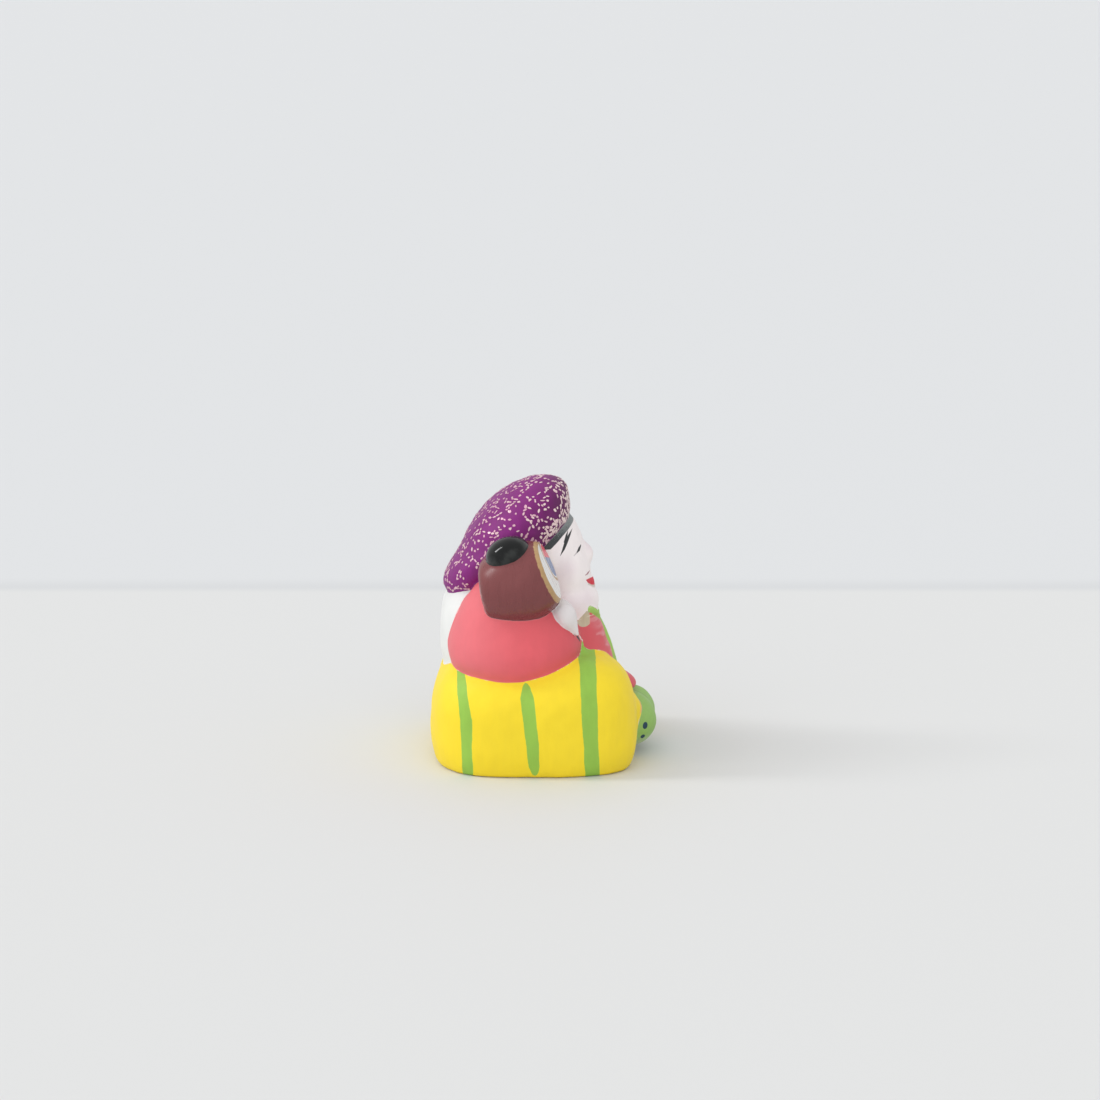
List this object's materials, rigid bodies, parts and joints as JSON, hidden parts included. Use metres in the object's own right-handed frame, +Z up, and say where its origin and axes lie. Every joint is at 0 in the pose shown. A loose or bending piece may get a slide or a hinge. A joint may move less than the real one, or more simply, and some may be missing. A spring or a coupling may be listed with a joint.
{
  "type": "clay daikoku figure",
  "caption": "Small painted clay doll of a seated lucky god in a round hood, with a mallet over the right shoulder and a sack on the back.",
  "frame": {"origin": "centre of the bounding box in X and Y, on the plane of the flat foot", "axes": "+Z up, -Y the way the figure faces, -X the figure's right side, where the mallet is"},
  "size_m": [0.0466, 0.044, 0.054],
  "materials": {
    "painted_clay": "low-fired clay under opaque matt to satin folk paint: yellow, red, green, purple, white and black"
  },
  "bodies": {
    "root": {"clay_figure": "painted_clay"}
  },
  "joints": []
}
